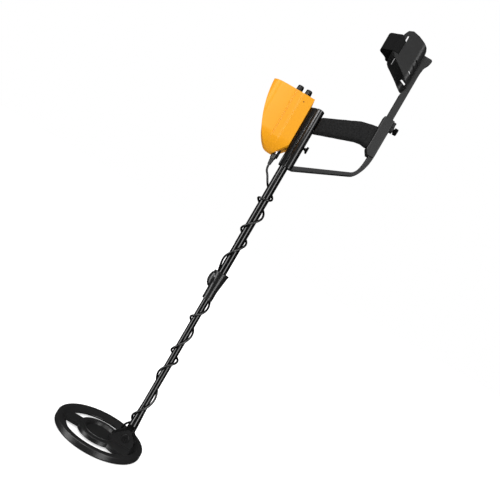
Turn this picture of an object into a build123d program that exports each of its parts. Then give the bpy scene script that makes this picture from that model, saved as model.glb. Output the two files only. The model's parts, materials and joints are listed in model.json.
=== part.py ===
from build123d import *
import math
import os

# A hand-held metal detector, standing on its search coil with its stem upright. Millimetres.
# +Z runs up the stem, +X towards the user's elbow, and the origin is on the floor under the coil's centre.

# ---------------------------------------------------------------- driving dimensions
# Stem
STEM_X = 57.0  # the stem's axis behind the coil's centre
LOWER_TUBE_RADIUS = 8.0
LOWER_TUBE_WALL = 1.5
LOWER_TUBE_TOP = 520.0
UPPER_TUBE_RADIUS = 9.9
UPPER_TUBE_WALL = 1.0
UPPER_TUBE_FOOT = 424.0
UPPER_TUBE_TOP = 866.0
RUNNING = 0.05  # radial clearance of a turning fit
SLIDING = 0.1  # radial clearance of a sliding fit
SEAT = 0.1  # clearance of a piece seated in another

# Search coil
COIL_RADIUS = 105.0
RING_TOP = 16.0
RING_INNER_TOP = 92.5
RING_INNER_LOW = 80.0
RING_INNER_EDGE = (6.0, 7.5)  # low and high end of the ring's thin inner edge
RING_FOOT_INNER = 88.0
SHELL_WALL = 2.0
COVER_SPLIT = 5.5  # height of the seam between top shell and bottom cover
HUB_RADIUS = 52.0
HUB_BASE = 4.0
HUB_TOP = 14.0
DISH_RADIUS = 36.0
DISH_FLOOR = 9.0
SPOKE_HALF = 21.0
SPOKE_TOP = 10.7
WEB_HALF = 50.0  # half the width of the web behind the hub, where the ears stand
WEB_END = 79.0  # where the web's high part ends

COIL_SCREW_CIRCLE = 98.0
SCREW_POST_RADIUS = 3.6
SCREW_HEAD_TOP = 1.2
FOOT_RADIUS = 22.0  # the flat foot under the hub
GLAND_AT = (36.0, 27.0)

# Coil pivot
PIVOT_Z = 32.0
EAR_RADIUS = 19.0
EAR_INNER = 10.6
EAR_OUTER = 15.0
EAR_FRONT = 24.0
BOLT_RADIUS = 4.0
BOLT_HEAD_RADIUS = 9.2
TIP_HALF = 8.0  # half the thickness of the stem tip between the ears
TIP_RADIUS = 11.0
TIP_TOP = 110.0

# Lock collar
COLLAR_FOOT = 386.5
COLLAR_CONE_FOOT = 409.5
COLLAR_RIM = 449.5
COLLAR_TOP = 453.5
COLLAR_SMALL = 12.3
COLLAR_LARGE = 17.8
LOBE_REACH = 23.0
LOBE_Z = 433.0

COLLET_RADIUS = 9.9

# Stem holder and handle
HOLDER_X = (42.8, 74.8)
HOLDER_HALF = 14.0
HOLDER_Z = (728.5, 877.0)
BAR_HALF = 10.0
SOCKET_X = (193.8, 218.8)
SOCKET_HALF = 14.0
SOCKET_Z = (843.0, 936.5)
GRIP_HALF = 15.0
CORE_HALF = 9.0
CLAMP_Z = 785.5
CLAMP_KNOB_RADIUS = 8.0
CLAMP_SCREW_RADIUS = 3.0
ARM_CLAMP_Z = 920.5
GRIP_TOP = [(HOLDER_X[1], 864.5), (154.8, 901.5), (178.8, 907.5), (SOCKET_X[0], 910.0)]
GRIP_LOW = [(SOCKET_X[0], 856.0), (178.8, 858.5), (162.8, 855.5), (HOLDER_X[1], 824.5)]
CORE_TOP = [(HOLDER_X[1], 853.5), (157.0, 890.0), (SOCKET_X[0], 896.5)]
CORE_LOW = [(SOCKET_X[0], 871.0), (160.0, 867.0), (HOLDER_X[1], 835.5)]

# Armrest
ARM_BAR_X = (198.8, 213.8)
ARM_BAR_HALF = 10.0
ARM_BAR_FOOT = 872.0
CUFF_HALF = 33.0
CUFF_WALL = 3.0
CUFF_CORNER = 17.0
CUFF_SCREW_Z = (1030.0, 1085.0)
STRAP_THICK = 1.6
STRAP_Z = (1061.5, 1101.5)
STRAP_SLOT_X = 149.0
STRAP_SLOT_HALF = 1.4
CUFF_SLOT = 3.4  # height of the slots where the cuff's walls meet its base
STRAP_REACH = 109.8

# Control box
BOX_BACK = 42.8
BOX_FRONT = -57.2
BOX_TOP = 880.5
BOX_TIP = (11.0, 739.5)
BOX_HALF = 45.0
BOX_WALL = 2.2
BOX_SEAM = -1.5
BAND_BACK = 15.4  # the recessed band behind the seam ends here
BOX_CORNER = 26.0
BOX_BOTTOM_CORNER = 40.0
PANEL_THICK = 2.0
PANEL_DEPTH = 1.0  # the panel's face below the box's rim
KNOB_RADIUS = 8.0
KNOB_HEIGHT = 18.0
KNOBS = ((1.8, -21.0), (22.8, -21.0))
LEVER_AT = (12.0, 21.0)
METER_X = (-48.0, -16.0)
METER_HALF = 24.0
PANEL_TOP = BOX_TOP - PANEL_DEPTH
PANEL_LOW = PANEL_TOP - PANEL_THICK
NEEDLE_Z = PANEL_TOP - 4.0
DOOR_X = (14.0, 38.0)
DOOR_Z = (801.0, 858.0)
SIDE_SCREW = (24.0, 864.0)
SPEAKER_AT = (-18.0, 838.0)
SPEAKER_RADIUS = 15.0

# Plug, headphone socket and coil cable
PLUG_X = 25.2
PLUG_Y = -5.0
PLUG_RADIUS = 6.6
SOCKET_BODY = 8.0
SOCKET_FACE = 739.0
BOOT_TOP = SOCKET_FACE - 8.0
BOOT_FOOT = 715.5
JACK_AT = (30.3, 8.0)
JACK_FACE = 736.5
JACK_BODY = 4.0
JACK_BORE = 1.8
CABLE_RADIUS = 2.5

STAND = (Align.CENTER, Align.CENTER, Align.MIN)
STEM = Pos(STEM_X, 0, 0)


# ---------------------------------------------------------------- shared shapes
def disc(radius, bottom, top, x=0.0, y=0.0):
    """An upright cylinder between two heights."""
    return Pos(x, y, bottom) * Cylinder(radius, top - bottom, align=STAND)


def tube(outer, inner, bottom, top, x=0.0, y=0.0):
    """An upright tube between two heights."""
    return disc(outer, bottom, top, x, y) - disc(inner, bottom - 1, top + 1, x, y)


def block(x, y, z):
    """A box given by its low and high limit along each axis."""
    centre = Pos((x[0] + x[1]) / 2, (y[0] + y[1]) / 2, (z[0] + z[1]) / 2)
    return centre * Box(x[1] - x[0], y[1] - y[0], z[1] - z[0])


def side_plate(outline, near, far):
    """An outline in the XZ plane, a face or a list of points, made thick from Y near to Y far."""
    face = Polygon(*outline, align=None) if isinstance(outline, (list, tuple)) else outline
    return extrude(Plane.XZ.offset(-far) * face, amount=far - near, dir=(0, -1, 0))


def plan_plate(points, bottom, top):
    """An outline in the XY plane, made thick between two heights."""
    return extrude(Plane.XY.offset(bottom) * Polygon(*points, align=None), amount=top - bottom, dir=(0, 0, 1))


def turned(points):
    """A section of radius and height points, turned about the Z axis."""
    return revolve(Plane.XZ * Polygon(*points, align=None), Axis.Z)


def rod_x(radius, start, end, y, z):
    """A cylinder along X."""
    return Pos(start, y, z) * Rot(0, 90, 0) * Cylinder(radius, end - start, align=STAND)


def rod_y(radius, start, end, x, z):
    """A cylinder along Y."""
    return Pos(x, start, z) * Rot(-90, 0, 0) * Cylinder(radius, end - start, align=STAND)


def hexagon(across, length):
    """A hexagonal bar along Z, by its width across the flats."""
    return extrude(RegularPolygon(across / math.sqrt(3), 6), amount=length)


# ---------------------------------------------------------------- search coil
def ring_section(wall):
    """The ring's cross-section, or its hollow at a wall's depth."""
    low, high = RING_INNER_EDGE
    if wall == 0:
        return [
            (RING_FOOT_INNER, 0),
            (COIL_RADIUS, 0),
            (COIL_RADIUS, RING_TOP),
            (RING_INNER_TOP, RING_TOP),
            (RING_INNER_LOW, high),
            (RING_INNER_LOW, low),
        ]
    return [
        (RING_FOOT_INNER + wall, wall),
        (COIL_RADIUS - wall, wall),
        (COIL_RADIUS - wall, RING_TOP - wall),
        (RING_INNER_TOP + wall / 2, RING_TOP - wall),
        (RING_INNER_LOW + 2 * wall, low + wall / 2),
    ]


def web_plan(inset):
    """The outline of the web behind the hub."""
    half = WEB_HALF - inset
    start, end = HUB_RADIUS * 0.58, COIL_RADIUS - 10
    near_hub = half * 0.86
    one_side = [(start, -near_hub), (start + 15, -half), (end, -half - 4)]
    return one_side + [(x, -y) for x, y in reversed(one_side)]


def coil_envelope():
    """The search coil's whole outside, before it is hollowed and split."""
    ring = turned(ring_section(0))
    circles = ring.edges().filter_by(GeomType.CIRCLE)
    outer = circles.filter_by(lambda e: abs(e.radius - COIL_RADIUS) < 0.01).sort_by(Axis.Z)
    ring = fillet(outer[0], 4.0)
    circles = ring.edges().filter_by(GeomType.CIRCLE)
    outer = circles.filter_by(lambda e: abs(e.radius - COIL_RADIUS) < 0.01).sort_by(Axis.Z)
    ring = fillet(outer[-1], 3.0)
    circles = ring.edges().filter_by(GeomType.CIRCLE)
    inner = circles.filter_by(lambda e: abs(e.radius - RING_INNER_TOP) < 0.01).sort_by(Axis.Z)
    ring = fillet(inner[-1], 1.2)
    hub = disc(HUB_RADIUS, HUB_BASE, HUB_TOP)
    hub = fillet(hub.edges().group_by(Axis.Z)[-1], 1.5)
    reach = RING_INNER_LOW + 4.0
    spoke = block((-reach, -HUB_RADIUS + 6), (-SPOKE_HALF, SPOKE_HALF), (HUB_BASE, SPOKE_TOP))
    low_web = plan_plate(web_plan(0), HUB_BASE, SPOKE_TOP) & disc(reach, 0, RING_TOP)
    high_web = plan_plate(web_plan(0), SPOKE_TOP, HUB_TOP) & block((0, WEB_END), (-90, 90), (0, 20))
    above = HUB_TOP + 1
    dish = turned([(0, DISH_FLOOR), (DISH_RADIUS - 2, DISH_FLOOR), (DISH_RADIUS, above), (0, above)])
    foot, top = DISH_RADIUS + 1, HUB_TOP + 0.9
    bead = turned([(foot, HUB_TOP), (foot + 0.5, top), (foot + 2, top), (foot + 2.5, HUB_TOP)])
    return ring + hub + spoke + low_web + high_web - dish + bead


def coil_hollow():
    """The space inside the search coil."""
    ring = turned(ring_section(SHELL_WALL))
    under_dish = disc(HUB_RADIUS - SHELL_WALL, COVER_SPLIT, DISH_FLOOR - SHELL_WALL)
    rim = tube(HUB_RADIUS - SHELL_WALL, DISH_RADIUS + SHELL_WALL, COVER_SPLIT, HUB_TOP - SHELL_WALL)
    reach = RING_INNER_LOW + 6.0
    half = SPOKE_HALF - SHELL_WALL
    spoke = block((-reach, -HUB_RADIUS + 6), (-half, half), (COVER_SPLIT, SPOKE_TOP - SHELL_WALL))
    web = plan_plate(web_plan(SHELL_WALL), COVER_SPLIT, SPOKE_TOP - SHELL_WALL) & disc(reach, 0, RING_TOP)
    return ring + under_dish + rim + spoke + web


def ears():
    """The two pivot ears that stand on the web behind the hub."""
    pivot_x, peak = STEM_X, PIVOT_Z + EAR_RADIUS
    outline = [
        (EAR_FRONT, HUB_TOP - 1),
        (EAR_FRONT - 1.5, PIVOT_Z - 9),
        (pivot_x - 4.5, peak - 1.2),
        (pivot_x, peak),
        (pivot_x + 5.0, peak - 1.4),
        (pivot_x + EAR_RADIUS + 1.5, PIVOT_Z + 1.0),
        (pivot_x + EAR_RADIUS + 3.4, PIVOT_Z - 7),
        (pivot_x + EAR_RADIUS + 2.8, HUB_TOP),
        (pivot_x + EAR_RADIUS + 2.8, SPOKE_TOP - 1),
        (EAR_FRONT, SPOKE_TOP - 1),
    ]
    made = None
    for near, far in ((-EAR_OUTER, -EAR_INNER), (EAR_INNER, EAR_OUTER)):
        ear = side_plate(outline, near, far)
        made = ear if made is None else made + ear
    return made


def screw_places():
    """Where the case screws stand, evenly round the ring."""
    angles = [math.radians(30 + 60 * count) for count in range(6)]
    return [(COIL_SCREW_CIRCLE * math.cos(a), COIL_SCREW_CIRCLE * math.sin(a)) for a in angles]


def coil_shells():
    """The top shell with its ears, and the bottom cover, split at the seam."""
    walls = coil_envelope() - coil_hollow()
    above = block((-120, 120), (-120, 120), (COVER_SPLIT, 80))
    below = block((-120, 120), (-120, 120), (-5, COVER_SPLIT))
    recess = rod_y(BOLT_HEAD_RADIUS + 0.5, -EAR_OUTER - 1, -EAR_OUTER + 1.6, STEM_X, PIVOT_Z)
    bore = rod_y(BOLT_RADIUS + SEAT, -30, 30, STEM_X, PIVOT_Z)
    exit_hole = disc(CABLE_RADIUS + 1.6, SPOKE_TOP - 4, HUB_TOP + 5, GLAND_AT[0], GLAND_AT[1])
    shell = (walls & above) + ears() - recess - bore - exit_hole
    cover = walls & below
    cover += disc(FOOT_RADIUS, 0, HUB_BASE + 0.5) - disc(FOOT_RADIUS - SHELL_WALL, SHELL_WALL, HUB_BASE + 2)
    for x, y in screw_places():
        shell += tube(SCREW_POST_RADIUS, 1.2, COVER_SPLIT, RING_TOP - SHELL_WALL, x, y)
        cover -= disc(1.5, -1, 20, x, y) + disc(3.2, -1, SCREW_HEAD_TOP, x, y)
    return shell, cover


def coil_screws():
    """The screws that hold the bottom cover, heads down."""
    made = []
    for x, y in screw_places():
        head = disc(3.0, SCREW_HEAD_TOP - 1.0, SCREW_HEAD_TOP, x, y)
        head -= block((x - 2.2, x + 2.2), (y - 0.4, y + 0.4), (-1, SCREW_HEAD_TOP - 0.6))
        made.append(head + disc(1.15, SCREW_HEAD_TOP, SCREW_HEAD_TOP + 9, x, y))
    return Compound(children=[s.solid() for s in made])


def transmit_winding():
    """The large winding inside the ring, within the circle of screw posts."""
    outer = COIL_SCREW_CIRCLE - SCREW_POST_RADIUS - 0.8
    return tube(outer, RING_FOOT_INNER + SHELL_WALL + 0.2, SHELL_WALL + 0.05, SHELL_WALL + 8.0)


def receive_winding():
    """The small winding under the hub's rim."""
    outer = HUB_RADIUS - SHELL_WALL - 2.0
    return tube(outer, outer - 5.0, COVER_SPLIT, COVER_SPLIT + 4.0)


def coil_gland():
    """The strain relief where the cable leaves the hub."""
    x, y = GLAND_AT
    flange = disc(5.0, HUB_TOP, HUB_TOP + 2.0, x, y)
    sleeve = Pos(x, y, HUB_TOP + 2) * Cone(4.6, 3.4, 12.0, align=STAND)
    neck = disc(CABLE_RADIUS + 1.5, HUB_TOP - SHELL_WALL, HUB_TOP, x, y)
    return flange + sleeve + neck - disc(CABLE_RADIUS + 0.05, 0, HUB_TOP + 20, x, y)


# ---------------------------------------------------------------- coil pivot
def pivot_bolt():
    """A large-headed plastic bolt through ears and stem tip."""
    head = rod_y(BOLT_HEAD_RADIUS, -EAR_OUTER - 1.2, -EAR_OUTER + 1.5, STEM_X, PIVOT_Z)
    head = fillet(head.edges().group_by(Axis.Y)[0], 1.0)
    shaft = rod_y(BOLT_RADIUS, -EAR_OUTER + 1.5, EAR_OUTER + 11.0, STEM_X, PIVOT_Z)
    socket = Pos(STEM_X, -EAR_OUTER - 2, PIVOT_Z) * Rot(-90, 0, 0) * hexagon(5.4, 3.4)
    return head + shaft - socket


def pivot_nut():
    """A winged nut on the far side."""
    start = EAR_OUTER + 0.3
    hub = rod_y(8.0, start, start + 6.0, STEM_X, PIVOT_Z)
    nut = hub + rod_y(6.5, start + 6.0, start + 9.0, STEM_X, PIVOT_Z)
    for side in (-1, 1):
        wing = Pos(STEM_X + side * 9.5, start + 6.5, PIVOT_Z) * Box(9.0, 8.0, 4.0)
        nut += fillet(wing.edges().filter_by(Axis.Z), 1.8)
    return nut - rod_y(BOLT_RADIUS + RUNNING, 0, 60, STEM_X, PIVOT_Z)


def pivot_washers():
    """Two rubber washers that grip the stem tip."""
    made = []
    for near, far in ((-EAR_INNER + 0.1, -TIP_HALF - 0.05), (TIP_HALF + 0.05, EAR_INNER - 0.1)):
        washer = rod_y(9.0, near, far, STEM_X, PIVOT_Z)
        made.append(washer - rod_y(BOLT_RADIUS + SEAT, -60, 60, STEM_X, PIVOT_Z))
    return Compound(children=[s.solid() for s in made])


# ---------------------------------------------------------------- stem
def stem_tip():
    """The plastic tongue between the ears, with a tapered sleeve and a spigot in the lower tube."""
    end_radius = LOWER_TUBE_RADIUS + 0.2
    body = turned([(0, PIVOT_Z), (TIP_RADIUS, PIVOT_Z), (TIP_RADIUS, 60), (end_radius, TIP_TOP), (0, TIP_TOP)])
    body += disc(LOWER_TUBE_RADIUS - LOWER_TUBE_WALL - SEAT, TIP_TOP, TIP_TOP + 26)
    body = STEM * body + rod_y(TIP_RADIUS, -TIP_HALF, TIP_HALF, STEM_X, PIVOT_Z)
    for side in (-1, 1):
        edges = sorted((side * TIP_HALF, side * 20.0))
        body -= block((STEM_X - 20, STEM_X + 20), edges, (0, 62))
    return body - rod_y(BOLT_RADIUS + RUNNING, -30, 30, STEM_X, PIVOT_Z)


def lower_tube():
    return tube(LOWER_TUBE_RADIUS, LOWER_TUBE_RADIUS - LOWER_TUBE_WALL, TIP_TOP, LOWER_TUBE_TOP, STEM_X)


def stem_bush():
    """The sliding bush on the lower tube's top end."""
    bore = UPPER_TUBE_RADIUS - UPPER_TUBE_WALL
    inside = LOWER_TUBE_RADIUS - LOWER_TUBE_WALL - SEAT
    bush = disc(bore - SLIDING, LOWER_TUBE_TOP, LOWER_TUBE_TOP + 14)
    bush += disc(inside, LOWER_TUBE_TOP - 16, LOWER_TUBE_TOP)
    return STEM * (bush - disc(inside - 1.5, LOWER_TUBE_TOP - 20, LOWER_TUBE_TOP + 20))


def upper_tube():
    return tube(UPPER_TUBE_RADIUS, UPPER_TUBE_RADIUS - UPPER_TUBE_WALL, UPPER_TUBE_FOOT, UPPER_TUBE_TOP, STEM_X)


def lock_collar():
    """The twist lock: a barrel that widens upwards, with an off-centre lobe and a recessed top."""
    body = turned(
        [
            (0, COLLAR_FOOT),
            (COLLAR_SMALL - 0.6, COLLAR_FOOT),
            (COLLAR_SMALL, COLLAR_FOOT + 0.6),
            (COLLAR_SMALL, COLLAR_CONE_FOOT),
            (COLLAR_LARGE - 0.6, COLLAR_RIM),
            (COLLAR_LARGE + 0.4, COLLAR_RIM + 0.6),
            (COLLAR_LARGE + 0.4, COLLAR_TOP - 0.5),
            (COLLAR_LARGE, COLLAR_TOP),
            (0, COLLAR_TOP),
        ]
    )
    lobe_radius = LOBE_REACH - 9.5
    lobe = turned(
        [
            (0, COLLAR_CONE_FOOT + 4),
            (lobe_radius * 0.45, COLLAR_CONE_FOOT + 5),
            (lobe_radius * 0.8, COLLAR_CONE_FOOT + 11),
            (lobe_radius, LOBE_Z - 4),
            (lobe_radius, LOBE_Z + 5),
            (lobe_radius * 0.85, LOBE_Z + 13),
            (lobe_radius * 0.55, COLLAR_TOP - 2.5),
            (0, COLLAR_TOP - 2),
        ]
    )
    body += Pos(-9.5, 0, 0) * lobe
    body -= disc(LOWER_TUBE_RADIUS + 0.3, COLLAR_FOOT - 1, COLLAR_TOP + 1)
    body -= disc(COLLET_RADIUS + RUNNING, COLLAR_FOOT + 8, UPPER_TUBE_FOOT)
    body -= disc(UPPER_TUBE_RADIUS + RUNNING, UPPER_TUBE_FOOT - 0.01, COLLAR_TOP + 1)
    body -= disc(COLLAR_LARGE - 3.0, COLLAR_TOP - 2.2, COLLAR_TOP + 1)
    return STEM * body


def clamp_collet():
    """The slotted collet that the collar squeezes onto the lower tube. It is held by the upper tube's foot."""
    spigot = UPPER_TUBE_RADIUS - UPPER_TUBE_WALL - SEAT
    body = disc(COLLET_RADIUS, COLLAR_FOOT + 9, UPPER_TUBE_FOOT)
    body += disc(spigot, UPPER_TUBE_FOOT, UPPER_TUBE_FOOT + 18)
    body -= disc(LOWER_TUBE_RADIUS + SLIDING, 0, 600)
    for turn in (0, 60, 120):
        body -= Rot(0, 0, turn) * block((-15, 15), (-0.6, 0.6), (COLLAR_FOOT, UPPER_TUBE_FOOT - 8))
    return STEM * body


# ---------------------------------------------------------------- stem holder and handle
def stem_holder():
    """The long sleeve that carries the upper tube, the box and the handle."""
    body = block(HOLDER_X, (-HOLDER_HALF, HOLDER_HALF), HOLDER_Z)
    upright = body.edges().filter_by(Axis.Z).sort_by(Axis.X)
    body = fillet(upright[-2:], 11.0)
    upright = body.edges().filter_by(Axis.Z).filter_by(lambda e: e.center().X < HOLDER_X[0] + 0.1)
    body = fillet(upright, 4.0)
    body = fillet(body.edges().group_by(Axis.Z)[-1], 1.6)
    front, top = HOLDER_X[0] - 1, HOLDER_Z[1]
    body -= side_plate([(front, top - 7), (STEM_X + 4, top), (STEM_X + 4, top + 2), (front, top + 2)], -20, 20)
    body -= disc(UPPER_TUBE_RADIUS + SEAT, HOLDER_Z[0] - 1, UPPER_TUBE_TOP + 1, STEM_X)
    for side in (-1, 1):
        groove_y = sorted((side * (HOLDER_HALF - 0.8), side * (HOLDER_HALF + 1)))
        body -= block((STEM_X - 1.9, STEM_X - 0.7), groove_y, (HOLDER_Z[0] + 4, HOLDER_Z[1] - 4))
    body -= rod_x(CLAMP_SCREW_RADIUS + RUNNING, STEM_X, HOLDER_X[1] + 3, 0, CLAMP_Z)
    pocket = Pos(HOLDER_X[1] - 5.2, 0, CLAMP_Z) * Rot(0, 90, 0) * hexagon(9.0, 3.2)
    return body - pocket


def hex_nut(start, length, z):
    """A nut along X for a clamp screw."""
    nut = Pos(start, 0, z) * Rot(0, 90, 0) * hexagon(8.8, length)
    return nut - rod_x(CLAMP_SCREW_RADIUS + RUNNING, start - 1, start + length + 1, 0, z)


def clamp_knob(tip, neck, end, z):
    """A round knob with a grip bar and a screw along X, from the screw's tip to the knob's end."""
    head = rod_x(CLAMP_KNOB_RADIUS, neck + 2.0, end, 0, z)
    head = fillet(head.edges().filter_by(GeomType.CIRCLE).sort_by(Axis.X)[-1], 1.2)
    reach = CLAMP_KNOB_RADIUS + 0.3
    for turn in range(12):
        angle = math.radians(30 * turn)
        head -= rod_x(1.1, neck + 1, end + 1, reach * math.cos(angle), z + reach * math.sin(angle))
    return head + rod_x(4.5, neck, neck + 2.0, 0, z) + rod_x(CLAMP_SCREW_RADIUS, tip, neck, 0, z)


def handle_loop():
    """The lower bar that sweeps up into the armrest socket."""
    inner_start, inner_end = (HOLDER_X[1], 739.5), (190.0, 791.0)
    outer_start, outer_end = (HOLDER_X[1], 727.8), (193.0, 783.0)
    inner_top, outer_top = (206.8, 843.0), (SOCKET_X[1], 843.0)
    slope = (inner_end[0] - inner_start[0], inner_end[1] - inner_start[1])
    back = (-slope[0], -slope[1])
    scalars = (0.9, 0.9)
    inner_bend = Spline(inner_end, inner_top, tangents=(slope, (0, 1)), tangent_scalars=scalars)
    outer_bend = Spline(outer_top, outer_end, tangents=((0, -1), back), tangent_scalars=scalars)
    bar = make_face(
        [
            Line(outer_start, inner_start).edge(),
            Line(inner_start, inner_end).edge(),
            inner_bend.edge(),
            Line(inner_top, outer_top).edge(),
            outer_bend.edge(),
            Line(outer_end, outer_start).edge(),
        ]
    )
    bar = side_plate(bar, -BAR_HALF, BAR_HALF)
    on_sides = bar.edges().filter_by(lambda e: abs(abs(e.center().Y) - BAR_HALF) < 0.01)
    bar = fillet(on_sides.filter_by(lambda e: e.length > 15), 2.0)
    socket = block(SOCKET_X, (-SOCKET_HALF, SOCKET_HALF), SOCKET_Z)
    socket = fillet(socket.edges().filter_by(Axis.Z), 3.0)
    corner_x, corner_z = SOCKET_X[0], SOCKET_Z[0]
    wedge = [(corner_x - 1, corner_z - 1), (corner_x + 9, corner_z - 1), (corner_x - 1, corner_z + 14)]
    socket -= side_plate(wedge, -20, 20)
    boss = rod_x(8.5, SOCKET_X[1] - 3, SOCKET_X[1] + 7.0, 0, ARM_CLAMP_Z)
    boss += block((SOCKET_X[1] - 3, SOCKET_X[1] + 6.5), (-7, 7), (ARM_CLAMP_Z, SOCKET_Z[1]))
    body = bar + socket + boss
    slot_x = (ARM_BAR_X[0] - 0.3, ARM_BAR_X[1] + 0.3)
    slot_half = ARM_BAR_HALF + 0.3
    body -= block(slot_x, (-slot_half, slot_half), (SOCKET_Z[0] + 7, SOCKET_Z[1] + 1))
    body -= rod_x(CLAMP_SCREW_RADIUS + RUNNING, ARM_BAR_X[1], SOCKET_X[1] + 12, 0, ARM_CLAMP_Z)
    pocket = Pos(SOCKET_X[1] + 1.4, 0, ARM_CLAMP_Z) * Rot(0, 90, 0) * hexagon(9.0, 3.2)
    return body - pocket


def grip_core():
    """The bar inside the foam grip, from the stem holder to the armrest socket."""
    return side_plate(CORE_TOP + CORE_LOW, -CORE_HALF, CORE_HALF)


def grip_foam():
    """The foam sleeve on the grip core."""
    foam = side_plate(GRIP_TOP + GRIP_LOW, -GRIP_HALF, GRIP_HALF)
    on_sides = foam.edges().filter_by(lambda e: abs(abs(e.center().Y) - GRIP_HALF) < 0.01)
    foam = fillet(on_sides.filter_by(lambda e: HOLDER_X[1] + 2 < e.center().X < SOCKET_X[0] - 2), 9.0)
    return foam - side_plate(CORE_TOP + CORE_LOW, -CORE_HALF, CORE_HALF)


# ---------------------------------------------------------------- armrest
def armrest_bar():
    """The upright bar that slides in the socket, with a flared tail behind the cuff."""
    x0, x1 = ARM_BAR_X
    face_x = x0 + CUFF_WALL
    outline = [
        (x0, ARM_BAR_FOOT),
        (x1, ARM_BAR_FOOT),
        (x1, 1056.0),
        (x1 + 1.5, 1068.0),
        (x1 + 4.0, 1079.0),
        (x1 + 9.6, 1089.5),
        (x1 + 9.6, 1093.5),
        (x1 + 7.0, 1096.8),
        (face_x, 1096.8),
        (face_x, 1008.0),
        (x0, 1000.0),
    ]
    bar = side_plate(outline, -ARM_BAR_HALF, ARM_BAR_HALF)
    at_back = bar.edges().filter_by(lambda e: abs(e.center().X - x1) < 0.01)
    bar = fillet(at_back.filter_by(lambda e: abs(abs(e.center().Y) - ARM_BAR_HALF) < 0.01), 2.0)
    for z in CUFF_SCREW_Z:
        bar -= rod_x(1.2, face_x - 1, face_x + 8, 0, z)
    return bar


def cuff_shell():
    """The cuff's wall, bent from one wall round the base to the other, as a U in plan."""
    x0, x1 = 120.0, ARM_BAR_X[0] + CUFF_WALL
    outer = block((x0, x1), (-CUFF_HALF, CUFF_HALF), (990, 1130))
    outer = fillet(outer.edges().filter_by(Axis.Z).sort_by(Axis.X)[-2:], CUFF_CORNER)
    inner_half = CUFF_HALF - CUFF_WALL
    inner = block((x0 - 5, x1 - CUFF_WALL), (-inner_half, inner_half), (980, 1140))
    inner = fillet(inner.edges().filter_by(Axis.Z).sort_by(Axis.X)[-2:], CUFF_CORNER - CUFF_WALL)
    return outer - inner


def armrest_cuff():
    """The open cuff that holds the forearm."""
    base = ARM_BAR_X[0] + CUFF_WALL
    outline = [
        (base + 1, 1009.5),
        (base - 2, 1010.0),
        (191.0, 1018.5),
        (181.0, 1026.5),
        (171.0, 1034.0),
        (155.0, 1045.0),
        (146.5, 1050.5),
        (141.0, 1056.0),
        (138.3, 1062.0),
        (136.5, 1072.0),
        (138.8, 1105.5),
        (144.0, 1116.0),
        (154.0, 1120.5),
        (170.8, 1117.0),
        (186.0, 1110.5),
        (base - 6, 1105.0),
        (base - 1.5, 1099.0),
        (base + 1, 1090.0),
    ]
    cuff = cuff_shell() & side_plate(outline, -60, 60)
    for side in (-1, 1):
        slot_y = sorted((side * (CUFF_HALF - 8), side * (CUFF_HALF + 4)))
        slot_z = (STRAP_Z[0] - 1.5, STRAP_Z[1] + 4.5)
        cuff -= block((STRAP_SLOT_X - STRAP_SLOT_HALF, STRAP_SLOT_X + STRAP_SLOT_HALF), slot_y, slot_z)
        for z in (1035.0, 1049.0, 1063.0):
            corner = Pos(base - 8.5, side * (CUFF_HALF - 8.5), z) * Rot(0, 0, side * 45) * Rot(side * 31, 0, 0)
            cuff -= corner * Box(20, 22, CUFF_SLOT)
    for z in CUFF_SCREW_Z:
        cuff -= rod_x(1.7, base - 6, base + 1, 0, z)
    return cuff


def cuff_screws():
    """The two screws that hold the cuff to the bar."""
    made = []
    for z in CUFF_SCREW_Z:
        face = ARM_BAR_X[0]
        head = rod_x(3.2, face - 1.5, face - 0.05, 0, z)
        head -= block((face - 2, face - 1.0), (-2.4, 2.4), (z - 0.4, z + 0.4))
        made.append(head + rod_x(1.15, face - 0.05, face + 10, 0, z))
    return Compound(children=[s.solid() for s in made])


def beside(points, distance):
    """The points moved sideways from their line by a distance, with mitred corners."""
    moved = []
    for at, (x, y) in enumerate(points):
        before, after = points[max(at - 1, 0)], points[min(at + 1, len(points) - 1)]
        runs = [(x - before[0], y - before[1]), (after[0] - x, after[1] - y)]
        normals = [(-b / math.hypot(a, b), a / math.hypot(a, b)) for a, b in runs if math.hypot(a, b) > 0]
        nx, ny = (sum(n[axis] for n in normals) / len(normals) for axis in (0, 1))
        scale = distance / (nx * nx + ny * ny)
        moved.append((x + nx * scale, y + ny * scale))
    return moved


def arm_strap():
    """The webbing strap across the cuff's mouth, threaded through a slot in each wall."""
    side_y = CUFF_HALF + 0.3 + STRAP_THICK / 2
    front = STRAP_REACH + STRAP_THICK / 2
    middle = [(STRAP_SLOT_X, -side_y), (136.0, -side_y), (132.6, -side_y + 3.2)]
    middle += [(126.0, -24.5), (117.5, -18.5), (112.6, -12.5), (front, -4.0), (113.0, 3.6), (119.0, 9.4)]
    middle += [(127.0, 16.0), (131.6, 24.0), (133.0, side_y - 3.2), (136.0, side_y), (STRAP_SLOT_X, side_y)]
    outline = beside(middle, -STRAP_THICK / 2) + beside(middle, STRAP_THICK / 2)[::-1]
    band = plan_plate(outline, *STRAP_Z)
    for side in (-1, 1):
        tab_y = sorted((side * (CUFF_HALF - 7), side * (side_y + STRAP_THICK / 2)))
        band += block((STRAP_SLOT_X - STRAP_THICK / 2, STRAP_SLOT_X + STRAP_THICK / 2), tab_y, STRAP_Z)
    edge, top = STRAP_SLOT_X - STRAP_SLOT_HALF - 0.6, STRAP_Z[1]
    corner = [(edge - 7.5, top + 1), (edge, top - 8.5), (edge + 9, top - 8.5), (edge + 9, top + 1)]
    return band - side_plate(corner, -60, 60)


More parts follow.
